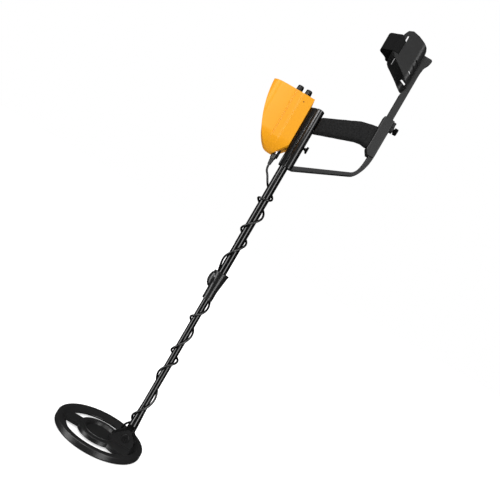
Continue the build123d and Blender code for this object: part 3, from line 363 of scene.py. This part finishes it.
def weave_group():
    """Webbing on the piece's own UV map: ribs along its length and picks across it."""
    group, inside, outside = new_group(
        "webbing_weave",
        [
            ("Colour", COLOUR, (0.01, 0.01, 0.01, 1)),
            ("Pale", COLOUR, (0.03, 0.03, 0.03, 1)),
            ("Ribs", FLOAT, 20.0),
            ("Picks", FLOAT, 150.0),
        ],
        [("Colour", COLOUR), ("Height", FLOAT)],
    )
    uv = group.nodes.new("ShaderNodeUVMap")
    uv.uv_map = "UVMap"
    split = group.nodes.new("ShaderNodeSeparateXYZ")
    group.links.new(uv.outputs["UV"], split.inputs[0])
    turn = 2 * math.pi
    rib_count = math_node(group, "MULTIPLY", split.outputs["X"], inside.outputs["Ribs"])
    across = math_node(group, "MULTIPLY", rib_count, turn)
    pick_count = math_node(group, "MULTIPLY", split.outputs["Y"], inside.outputs["Picks"])
    along = math_node(group, "MULTIPLY", pick_count, turn)
    ribs = math_node(group, "ABSOLUTE", math_node(group, "SINE", across))
    picks = math_node(group, "ABSOLUTE", math_node(group, "SINE", math_node(group, "ADD", along, across)))
    height = math_node(group, "MULTIPLY", math_node(group, "ADD", ribs, picks), 0.5)
    colour = mix_colours(group, height, inside.outputs["Colour"], inside.outputs["Pale"])
    group.links.new(colour, outside.inputs["Colour"])
    group.links.new(height, outside.inputs["Height"])
    return group


def grey(value):
    """A grey with a trace of blue."""
    return (value, value, value * 1.02, 1.0)


def finish(name, group, values, **settings):
    """A material: a surface group that feeds a Principled BSDF. Settings are the shader's own constants."""
    material = bpy.data.materials.new(name)
    material.use_nodes = True
    tree = material.node_tree
    shader = tree.nodes["Principled BSDF"]
    surface = tree.nodes.new("ShaderNodeGroup")
    surface.node_tree = group
    for label, value in values.items():
        surface.inputs[label].default_value = value
    bump = tree.nodes.new("ShaderNodeBump")
    bump.inputs["Strength"].default_value = settings.pop("bump", 0.15)
    bump.inputs["Distance"].default_value = settings.pop("depth", 0.0002)
    tree.links.new(surface.outputs["Colour"], shader.inputs["Base Color"])
    tree.links.new(surface.outputs["Height"], bump.inputs["Height"])
    tree.links.new(bump.outputs["Normal"], shader.inputs["Normal"])
    if "Roughness" in surface.outputs:
        tree.links.new(surface.outputs["Roughness"], shader.inputs["Roughness"])
    for label, value in settings.items():
        shader.inputs[label.replace("_", " ")].default_value = value
    return material


MOULDED, FOAM, WEAVE = moulded_group(), foam_group(), weave_group()


def plastic(name, dark, pale, rough, spread=0.08, grain=900.0, **settings):
    """A moulded plastic, painted or metal finish."""
    values = {"Colour": dark, "Pale": pale, "Grain scale": grain, "Roughness": rough, "Spread": spread}
    return finish(name, MOULDED, values, **settings)


AMBER = (0.97, 0.380, 0.005, 1.0)
AMBER_PALE = (1.0, 0.415, 0.009, 1.0)
# dark and pale colour, roughness, and what differs from the usual
PLASTICS = {
    "coil_plastic": (grey(0.013), grey(0.020), 0.36, {"bump": 0.15, "Specular_IOR_Level": 0.42}),
    "tube_black": (
        grey(0.003),
        grey(0.005),
        0.13,
        {"spread": 0.04, "grain": 400.0, "bump": 0.03, "Specular_IOR_Level": 0.5},
    ),
    "collar_plastic": (grey(0.008), grey(0.013), 0.30, {"bump": 0.2}),
    "handle_plastic": (grey(0.016), grey(0.023), 0.42, {"bump": 0.3, "Specular_IOR_Level": 0.3}),
    "holder_plastic": (grey(0.005), grey(0.008), 0.26, {"bump": 0.04}),
    "tip_plastic": (grey(0.004), grey(0.007), 0.15, {"spread": 0.04, "grain": 400.0, "bump": 0.04}),
    "screw_amber": ((0.42, 0.13, 0.003, 1.0), (0.48, 0.16, 0.004, 1.0), 0.5, {"Specular_IOR_Level": 0.2}),
    "cuff_plastic": (grey(0.012), grey(0.018), 0.36, {"bump": 0.2, "Specular_IOR_Level": 0.3}),
    "box_amber": (
        AMBER,
        AMBER_PALE,
        0.37,
        {
            "spread": 0.05,
            "grain": 1100.0,
            "bump": 0.04,
            "Specular_IOR_Level": 0.30,
            "Specular_Tint": (1.0, 0.95, 0.52, 1.0),
        },
    ),
    "panel_black": (grey(0.008), grey(0.012), 0.5, {"bump": 0.4}),
    "knob_black": (grey(0.003), grey(0.006), 0.16, {"bump": 0.06, "Specular_IOR_Level": 0.2}),
    "plug_black": (grey(0.008), grey(0.012), 0.25, {"bump": 0.1}),
    "rubber_black": (grey(0.008), grey(0.014), 0.55, {"bump": 0.4}),
    "cable_black": (grey(0.004), grey(0.007), 0.3, {"grain": 1400.0, "bump": 0.12}),
    "steel": ((0.5, 0.5, 0.52, 1), (0.62, 0.62, 0.64, 1), 0.3, {"grain": 1200.0, "bump": 0.1, "Metallic": 1.0}),
    "copper": ((0.55, 0.22, 0.10, 1), (0.68, 0.30, 0.14, 1), 0.35, {"bump": 0.3, "Metallic": 1.0}),
    "board_green": ((0.01, 0.09, 0.03, 1), (0.015, 0.14, 0.05, 1), 0.4, {}),
    "scale_white": ((0.75, 0.75, 0.72, 1), (0.82, 0.82, 0.79, 1), 0.6, {"bump": 0.05}),
    "needle_red": ((0.5, 0.02, 0.015, 1), (0.6, 0.03, 0.02, 1), 0.4, {"bump": 0.05}),
    "window_clear": (
        (0.95, 0.97, 0.98, 1),
        (1, 1, 1, 1),
        0.05,
        {"spread": 0.02, "bump": 0.01, "Transmission_Weight": 1.0, "IOR": 1.49},
    ),
    "battery_case": ((0.02, 0.02, 0.025, 1), (0.05, 0.05, 0.06, 1), 0.35, {"bump": 0.08, "Metallic": 0.6}),
    "speaker_black": (grey(0.01), grey(0.02), 0.7, {"bump": 0.5}),
}
FINISH = {slot: plastic(slot, *row[:3], **row[3]) for slot, row in PLASTICS.items()}
FINISH["grip_foam"] = finish(
    "grip_foam",
    FOAM,
    {"Colour": grey(0.004), "Pale": grey(0.024), "Cell scale": 520.0},
    bump=0.7,
    depth=0.0006,
    Roughness=0.9,
    Specular_IOR_Level=0.15,
)
FINISH["strap_webbing"] = finish(
    "strap_webbing",
    WEAVE,
    {"Colour": grey(0.002), "Pale": grey(0.010), "Ribs": 16.0, "Picks": 90.0},
    bump=0.6,
    depth=0.0004,
    Roughness=0.85,
    Specular_IOR_Level=0.12,
)

for node, slot in SLOT_OF.items():
    for place in NODES[node].material_slots:
        place.material = FINISH[slot]

add_cable()


# ---------------------------------------------------------------- modelling
WELD, FLAT_WITHIN = 0.01 * MM, 0.5  # vertices this near are one, and faces within this many degrees are one
CUT_SNAP = 0.02 * MM  # a cut takes vertices this near to it as its own


def take_up(piece):
    """Makes a piece the only selected and active one."""
    bpy.ops.object.select_all(action="DESELECT")
    piece.select_set(True)
    bpy.context.view_layer.objects.active = piece


def apply_modifier(piece, kind, **settings):
    """Adds a modifier with its settings and applies it."""
    modifier = piece.modifiers.new(kind.lower(), kind)
    for label, value in settings.items():
        setattr(modifier, label, value)
    take_up(piece)
    bpy.ops.object.modifier_apply(modifier=modifier.name)


def stand_in(piece, node, slot=None):
    """The piece rides and shows in a CAD node's place."""
    slot = slot or SLOT_OF[node]
    piece.data.materials.clear()
    piece.data.materials.append(FINISH[slot])
    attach(piece, BODY_OF[node])
    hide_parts(node)
    return piece


def merged_copy(node, name):
    """A copy of a CAD node as one closed mesh with its flat faces whole."""
    piece = bpy.data.objects.new(name, NODES[node].data.copy())
    bpy.context.scene.collection.objects.link(piece)
    take_up(piece)
    bpy.ops.mesh.customdata_custom_splitnormals_clear()
    bpy.ops.object.mode_set(mode="EDIT")
    bpy.ops.mesh.select_all(action="SELECT")
    bpy.ops.mesh.remove_doubles(threshold=WELD)
    bpy.ops.mesh.dissolve_limited(angle_limit=math.radians(FLAT_WITHIN))
    bpy.ops.object.mode_set(mode="OBJECT")
    return piece


def rounded(node, name, edge, crease=38):
    """A CAD piece with the small radii that moulding gives its edges."""
    piece = merged_copy(node, name)
    apply_modifier(
        piece,
        "BEVEL",
        width=edge,
        segments=2,
        limit_method="ANGLE",
        angle_limit=math.radians(crease),
        miter_outer="MITER_ARC",
    )
    take_up(piece)
    bpy.ops.object.shade_smooth_by_angle(angle=math.radians(crease - 3))
    apply_modifier(piece, "WEIGHTED_NORMAL", keep_sharp=True, weight=50)
    return stand_in(piece, node)


ROUNDED = [
    ("coil_top_shell", "coil_shell_moulding", 0.0005),
    ("coil_bottom_cover", "coil_cover_moulding", 0.0004),
    ("handle_loop", "handle_moulding", 0.0007),
    ("armrest_bar", "armrest_bar_moulding", 0.0009),
    ("armrest_cuff", "cuff_moulding", 0.0008),
    ("lock_collar", "collar_moulding", 0.0005),
    ("stem_tip", "stem_tip_moulding", 0.0005),
]
for node, name, edge in ROUNDED:
    rounded(node, name, edge)


BOX_HALVES = [("box_cover", "box_cover_moulding"), ("box_base", "box_base_moulding")]
BOX_SEAM, BAND_BACK, GROOVE_HALF = -1.5 * MM, 15.4 * MM, 1.7 * MM
GROOVE_SHARE, BEAD_SHARE = 0.022, 0.016  # of the box's half-width
BOX_FRONT, BOX_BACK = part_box("box_cover")[0].x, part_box("box_base")[1].x
BOX_STEP = 0.003  # between the cuts that let the sides curve


def drafted(x):
    """How much of its width the box keeps at x.

    It is widest at the band and narrows both ways, as mouldings do. A groove runs along the seam, and a
    bead along the back of the band.
    """
    groove = GROOVE_SHARE * max(0.0, 1 - abs(x - BOX_SEAM) / GROOVE_HALF)
    bead = BEAD_SHARE * max(0.0, 1 - abs(x - BAND_BACK) / GROOVE_HALF)
    if x < BOX_SEAM:
        share = (BOX_SEAM - x) / (BOX_SEAM - BOX_FRONT)
        return 1 - 0.014 * share - 0.036 * share * share - groove
    return 1 - 0.028 * max(0.0, (x - BAND_BACK) / (BOX_BACK - BAND_BACK)) - groove + bead


def cut_across(shape, places):
    """Cuts a mesh at each of these places along x, so that it can follow a profile."""
    for place in places:
        everything = shape.verts[:] + shape.edges[:] + shape.faces[:]
        bmesh.ops.bisect_plane(
            shape, geom=everything, plane_co=(place, 0, 0), plane_no=(1, 0, 0), dist=CUT_SNAP
        )


def soften(piece, edge):
    """Rounds a piece's sharp edges and shades the rest smooth."""
    apply_modifier(
        piece, "BEVEL", width=edge, segments=2, limit_method="ANGLE", angle_limit=math.radians(32)
    )
    take_up(piece)
    bpy.ops.object.shade_smooth_by_angle(angle=math.radians(30))


def box_half(node, name):
    """One half of the control box, with the draft and the small radii of a moulding."""
    piece = merged_copy(node, name)
    shape = bmesh.new()
    shape.from_mesh(piece.data)
    low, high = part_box(node)
    steps = int((high.x - low.x) / BOX_STEP)
    cut_across(shape, [low.x + (high.x - low.x) * step / steps for step in range(1, steps)])
    for line in (BOX_SEAM, BAND_BACK):
        cut_across(shape, (line - GROOVE_HALF, line, line + GROOVE_HALF))
    for vertex in shape.verts:
        vertex.co.y *= drafted(vertex.co.x)
    shape.to_mesh(piece.data)
    shape.free()
    soften(piece, 0.0006)
    apply_modifier(piece, "WEIGHTED_NORMAL", keep_sharp=True, weight=50)
    stand_in(piece, node)


for node, name in BOX_HALVES:
    box_half(node, name)


SLEEVE_STEP, SLEEVE_CREST, SLEEVE_RADIUS = 54.5 * MM, 63.8 * MM, 16.0 * MM
SLEEVE_RISE = 0.3 * MM  # the length of the step itself
HOLDER_SIDE = 13.7 * MM  # vertices beyond this, either way, belong to the outer side faces


def sleeve_dip(x):
    """How far the holder's side lies inside its block: behind a step it is the round sleeve of the tube."""
    if not SLEEVE_STEP < x < SLEEVE_CREST:
        return 0.0
    return SLEEVE_RADIUS - math.sqrt(SLEEVE_RADIUS ** 2 - (SLEEVE_CREST - x) ** 2)


def add_holder():
    """The stem holder: a block in front and a round sleeve behind, with a step between them."""
    piece = merged_copy("stem_holder", "holder_moulding")
    shape = bmesh.new()
    shape.from_mesh(piece.data)
    span = SLEEVE_CREST - SLEEVE_STEP
    cut_across(shape, [SLEEVE_STEP] + [SLEEVE_STEP + SLEEVE_RISE + span * step / 10 for step in range(10)])
    for vertex in shape.verts:
        if abs(vertex.co.y) > HOLDER_SIDE:
            vertex.co.y -= math.copysign(sleeve_dip(vertex.co.x), vertex.co.y)
    shape.to_mesh(piece.data)
    shape.free()
    soften(piece, 0.0005)
    stand_in(piece, "stem_holder")


add_holder()

OWN_FINISH = {
    "stem_tip_moulding": "tip_plastic",
    "holder_moulding": "holder_plastic",
    "box_side_screw": "screw_amber",
}
for name, slot in OWN_FINISH.items():
    bpy.data.objects[name].data.materials[0] = FINISH[slot]


def add_foam_grip():
    """The foam sleeve, firm and slightly uneven."""
    piece = merged_copy("grip_foam", "foam_sleeve")
    apply_modifier(piece, "REMESH", mode="VOXEL", voxel_size=0.0022)
    apply_modifier(piece, "SMOOTH", factor=0.5, iterations=4)
    texture = bpy.data.textures.new("foam_unevenness", "CLOUDS")
    texture.noise_scale = 0.012
    apply_modifier(piece, "DISPLACE", texture=texture, strength=0.0007, mid_level=0.5, texture_coords="LOCAL")
    piece.data.shade_smooth()
    stand_in(piece, "grip_foam")


add_foam_grip()


STRAP_PLAN = [(136.0, -34.1), (132.6, -30.9), (126.0, -24.5), (117.5, -18.5), (112.6, -12.5), (110.6, -4.0)]
STRAP_PLAN += [(113.0, 3.6), (119.0, 9.4), (127.0, 16.0), (131.6, 24.0), (133.0, 30.9), (136.0, 34.1)]


STRAP_SLOT, STRAP_SIDE, STRAP_TUCK = 149.0, 34.1, 5.0  # the slot's place, the wall's, and the tucked end
STRAP_THICKNESS = 1.5 * MM
# the top edge is cut down by this much, over this length, as it comes to the slot
CORNER_START, CORNER_LENGTH, CORNER_DROP = 139.5 * MM, 7.5 * MM, 8.5 * MM
STRAP_ROWS = 9


def strap_line():
    """The strap's middle line in plan, in metres: slot, wall, the angular front, wall, slot."""
    near = [(STRAP_SLOT, -STRAP_SIDE + STRAP_TUCK), (STRAP_SLOT, -STRAP_SIDE)]
    far = [(STRAP_SLOT, STRAP_SIDE), (STRAP_SLOT, STRAP_SIDE - STRAP_TUCK)]
    middle = near + STRAP_PLAN + far
    for _ in range(3):
        eased = [middle[0]]
        for one, other in zip(middle, middle[1:]):
            eased += [tuple(0.8 * p + 0.2 * q for p, q in zip(one, other))]
            eased += [tuple(0.2 * p + 0.8 * q for p, q in zip(one, other))]
        middle = eased + [middle[-1]]
    return [(x * MM, y * MM) for x, y in middle]


def band(name, line, low, high, thickness):
    """A strip of webbing that stands on edge along a line in plan, with a UV map in metres times a hundred."""
    rows = STRAP_ROWS
    lengths = [0.0]
    for one, other in zip(line, line[1:]):
        lengths.append(lengths[-1] + math.dist(one, other))
    points, faces = [], []
    for x, y in line:
        top = high - CORNER_DROP * min(1.0, max(0.0, (x - CORNER_START) / CORNER_LENGTH))
        for row in range(rows):
            points.append((x, y, low + (top - low) * row / (rows - 1)))
    for column in range(len(line) - 1):
        for row in range(rows - 1):
            start = column * rows + row
            faces.append((start, start + rows, start + rows + 1, start + 1))
    mesh = bpy.data.meshes.new(name)
    mesh.from_pydata(points, [], faces)
    layer = mesh.uv_layers.new(name="UVMap")
    for loop in mesh.loops:
        column, row = divmod(loop.vertex_index, rows)
        layer.data[loop.index].uv = (row / (rows - 1), lengths[column] / 0.1)
    piece = bpy.data.objects.new(name, mesh)
    bpy.context.scene.collection.objects.link(piece)
    apply_modifier(piece, "SOLIDIFY", thickness=thickness, offset=0.0)
    apply_modifier(
        piece, "BEVEL", width=0.0004, segments=2, limit_method="ANGLE", angle_limit=math.radians(50)
    )
    take_up(piece)
    bpy.ops.object.shade_smooth_by_angle(angle=math.radians(45))
    return piece, lengths[-1]


def add_strap():
    """The webbing strap across the cuff's mouth."""
    low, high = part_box("arm_strap")
    piece, length = band("strap_band", strap_line(), low.z, high.z, STRAP_THICKNESS)
    stand_in(piece, "arm_strap")


add_strap()


# ---------------------------------------------------------------- studio
def seen_directly(tree):
    """One for rays straight from the camera or through a window, and nought for the rest."""
    path = tree.nodes.new("ShaderNodeLightPath")
    return math_node(tree, "MAXIMUM", path.outputs["Is Camera Ray"], path.outputs["Is Transmission Ray"]), path


PLAIN_LEVEL, GLOSS_LEVEL = 0.95, 0.03  # the world in diffuse light and in reflections
FLOOR_SIZE, FLOOR_DROP, FLOOR_GLOW = 400, 0.0003, 0.6
STRIPS = [("strip_left", -60, 1.5), ("strip_right", 35, 1.4)]  # degrees round the stem, and width
STRIP_REACH, STRIP_HEIGHT, STRIP_RADIANCE = 3.4, 6.0, 6.0


def add_studio():
    """A white floor and world, a key light, and three lights that show only in gloss."""
    scene = bpy.context.scene
    scene.view_settings.view_transform = "Standard"
    world = bpy.data.worlds.new("studio")
    scene.world = world
    world.use_nodes = True
    tree = world.node_tree
    back = tree.nodes["Background"]
    back.inputs["Color"].default_value = (1, 1, 1, 1)
    seen, path = seen_directly(tree)
    glossy = path.outputs["Is Glossy Ray"]
    plain = math_node(tree, "MULTIPLY_ADD", glossy, GLOSS_LEVEL - PLAIN_LEVEL, PLAIN_LEVEL)
    tree.links.new(math_node(tree, "MAXIMUM", seen, plain), back.inputs["Strength"])

    bpy.ops.object.select_all(action="DESELECT")
    bpy.ops.mesh.primitive_plane_add(size=FLOOR_SIZE, location=(0, 0, CAD_LOW.z - FLOOR_DROP))
    floor = bpy.context.active_object
    floor.name = "floor"
    material = bpy.data.materials.new("floor_paper")
    material.use_nodes = True
    tree = material.node_tree
    shader = tree.nodes["Principled BSDF"]
    shader.inputs["Base Color"].default_value = (0.85, 0.85, 0.85, 1)
    shader.inputs["Roughness"].default_value = 0.9
    shader.inputs["Specular IOR Level"].default_value = 0.0
    shader.inputs["Emission Color"].default_value = (1, 1, 1, 1)
    seen, path = seen_directly(tree)
    tree.links.new(math_node(tree, "MULTIPLY", seen, FLOOR_GLOW), shader.inputs["Emission Strength"])
    floor.data.materials.append(material)
    floor.visible_glossy = False

    def lamp(name, place, aim, width, height, radiance, gloss_only=False):
        light = bpy.data.lights.new(name, "AREA")
        light.shape = "RECTANGLE"
        light.size, light.size_y = width, height
        light.energy = radiance * math.pi * width * height
        piece = bpy.data.objects.new(name, light)
        scene.collection.objects.link(piece)
        piece.location = place
        piece.rotation_mode = "QUATERNION"
        piece.rotation_quaternion = (Vector(aim) - Vector(place)).to_track_quat("-Z", "Y")
        piece.visible_diffuse = not gloss_only
        piece.visible_camera = False

    stem = Vector((STEM_X * MM, 0, 0.5))
    for name, turn, width in STRIPS:
        angle = math.radians(turn)
        place = stem + Vector((math.sin(angle), -math.cos(angle), 0)) * STRIP_REACH
        lamp(name, place, stem, width, STRIP_HEIGHT, STRIP_RADIANCE, gloss_only=True)
    lamp("cover_light", (-0.85, -3.2, 1.9), (-0.03, 0, 0.82), 0.45, 1.1, 27.0, gloss_only=True)
    lamp("key", (-1.6, -2.2, 2.6), (0.05, 0, 0.6), 2.0, 2.0, 1.5)


add_studio()
